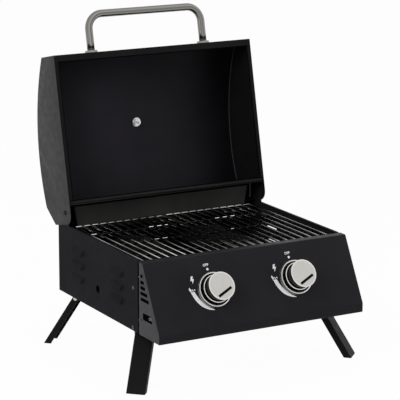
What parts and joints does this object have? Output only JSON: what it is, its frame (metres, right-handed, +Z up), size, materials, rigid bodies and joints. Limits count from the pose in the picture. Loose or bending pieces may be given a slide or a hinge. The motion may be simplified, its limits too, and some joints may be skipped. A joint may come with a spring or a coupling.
{
  "type": "portable tabletop grill",
  "caption": "Portable gas grill with a domed lid that opens past upright, a slanted control panel with push-and-turn knobs, lift-out wire grates, a drip tray and splayed folding legs.",
  "frame": {"origin": "bottom centre of the whole part as it stands with its lid open, on the surface it stands on", "axes": "+X to the right facing the control panel, +Y from the control panel to the back, +Z up"},
  "size_m": [0.6398, 0.6712, 0.8247],
  "materials": {
    "body_paint": "satin black heat-resistant paint",
    "lid_paint": "satin black heat-resistant paint",
    "liner_steel": "matt black enamel",
    "grate_steel": "bare drawn steel rod",
    "burner_steel": "bare stainless tube",
    "handle_steel": "brushed stainless tube",
    "collar_chrome": "polished",
    "knob_chrome": "polished",
    "knob_black": "moulded, satin",
    "bezel_chrome": "satin with polished inner ring",
    "stem_steel": "turned",
    "valve_brass": "turned",
    "valve_alloy": "die-cast",
    "electrode_ceramic": "glazed",
    "leg_paint": "satin black paint",
    "bracket_steel": "black paint",
    "pin_steel": "plated",
    "tray_steel": "galvanised",
    "dial_case": "polished rim",
    "dial_face": "matt white",
    "dial_lens": "clear",
    "dial_needle": "red",
    "probe_steel": "turned"
  },
  "bodies": {
    "body": {"side_panel_left": "body_paint", "side_panel_right": "body_paint", "back_panel": "body_paint", "floor_pan": "body_paint", "firebox_front": "body_paint", "front_ledge": "liner_steel", "rear_ledge": "liner_steel", "heat_shield": "liner_steel", "control_panel": "body_paint", "knob_bezel_left": "bezel_chrome", "knob_bezel_right": "bezel_chrome", "valve_body_left": "valve_alloy", "valve_body_right": "valve_alloy", "manifold_pipe": "valve_alloy", "gas_inlet": "valve_brass", "burner_left": "burner_steel", "burner_right": "burner_steel", "flame_tamer_left": "liner_steel", "flame_tamer_right": "liner_steel", "igniter_left": "electrode_ceramic", "igniter_right": "electrode_ceramic", "lid_pivot_pins": "pin_steel", "leg_pins": "pin_steel", "tray_rails": "tray_steel", "leg_bracket_front_left": "bracket_steel", "leg_bracket_front_right": "bracket_steel", "leg_bracket_rear_left": "bracket_steel", "leg_bracket_rear_right": "bracket_steel"},
    "lid": {"lid_shell": "lid_paint", "lid_cap_left": "lid_paint", "lid_cap_right": "lid_paint", "lid_handle": "handle_steel", "handle_collars": "collar_chrome", "thermometer_case": "dial_case", "thermometer_dial": "dial_face", "thermometer_lens": "dial_lens", "thermometer_probe": "probe_steel", "thermometer_nut": "probe_steel"},
    "needle": {"thermometer_needle": "dial_needle"},
    "grate_left": {"cooking_grate_left": "grate_steel"},
    "grate_right": {"cooking_grate_right": "grate_steel"},
    "tray": {"drip_tray": "tray_steel"},
    "valve_plug_left": {"valve_plug_left": "valve_brass"},
    "knob_left": {"knob_left": "knob_black", "knob_cap_left": "knob_chrome", "valve_stem_left": "stem_steel"},
    "valve_plug_right": {"valve_plug_right": "valve_brass"},
    "knob_right": {"knob_right": "knob_black", "knob_cap_right": "knob_chrome", "valve_stem_right": "stem_steel"},
    "leg_front_left": {"leg_front_left": "leg_paint"},
    "leg_front_right": {"leg_front_right": "leg_paint"},
    "leg_rear_left": {"leg_rear_left": "leg_paint"},
    "leg_rear_right": {"leg_rear_right": "leg_paint"}
  },
  "joints": [
    {"name": "lid_hinge", "type": "hinge", "parent": "body", "child": "lid", "pos_m": [0, 0.16867, 0.343], "axis": [-1, 0, 0], "range_deg": [-102.4, 0]},
    {"name": "needle_turn", "type": "hinge", "parent": "lid", "child": "needle", "pos_m": [0, 0.32249, 0.51908], "axis": [0, -0.9986, 0.0524], "range_deg": [0, 270], "stiffness_Nm_per_rad": 0.001},
    {"name": "grate_left_lift", "type": "slide", "parent": "body", "child": "grate_left", "axis": [0, 0, 1], "range_m": [0, 0.05]},
    {"name": "grate_right_lift", "type": "slide", "parent": "body", "child": "grate_right", "axis": [0, 0, 1], "range_m": [0, 0.05]},
    {"name": "tray_slide", "type": "slide", "parent": "body", "child": "tray", "axis": [0, 1, 0], "range_m": [0, 0.2]},
    {"name": "knob_turn_left", "type": "hinge", "parent": "body", "child": "valve_plug_left", "pos_m": [-0.112, -0.28183, 0.23468], "axis": [0, -0.8814, 0.4724], "range_deg": [0, 195]},
    {"name": "knob_push_left", "type": "slide", "parent": "valve_plug_left", "child": "knob_left", "axis": [0, 0.8814, -0.4724], "range_m": [0, 0.003], "stiffness_N_per_m": 1200, "springref_m": -0.004},
    {"name": "knob_turn_right", "type": "hinge", "parent": "body", "child": "valve_plug_right", "pos_m": [0.112, -0.28183, 0.23468], "axis": [0, -0.8814, 0.4724], "range_deg": [0, 195]},
    {"name": "knob_push_right", "type": "slide", "parent": "valve_plug_right", "child": "knob_right", "axis": [0, 0.8814, -0.4724], "range_m": [0, 0.003], "stiffness_N_per_m": 1200, "springref_m": -0.004},
    {"name": "leg_fold_front_left", "type": "hinge", "parent": "body", "child": "leg_front_left", "pos_m": [-0.2445, -0.18633, 0.124], "axis": [0.7218, -0.6921, 0], "range_deg": [0, 121.9]},
    {"name": "leg_fold_front_right", "type": "hinge", "parent": "body", "child": "leg_front_right", "pos_m": [0.2445, -0.18633, 0.124], "axis": [0.7218, 0.6921, 0], "range_deg": [0, 121.9]},
    {"name": "leg_fold_rear_left", "type": "hinge", "parent": "body", "child": "leg_rear_left", "pos_m": [-0.2445, 0.16967, 0.124], "axis": [-0.7218, -0.6921, 0], "range_deg": [0, 121.9]},
    {"name": "leg_fold_rear_right", "type": "hinge", "parent": "body", "child": "leg_rear_right", "pos_m": [0.2445, 0.16967, 0.124], "axis": [-0.7218, 0.6921, 0], "range_deg": [0, 121.9]}
  ]
}
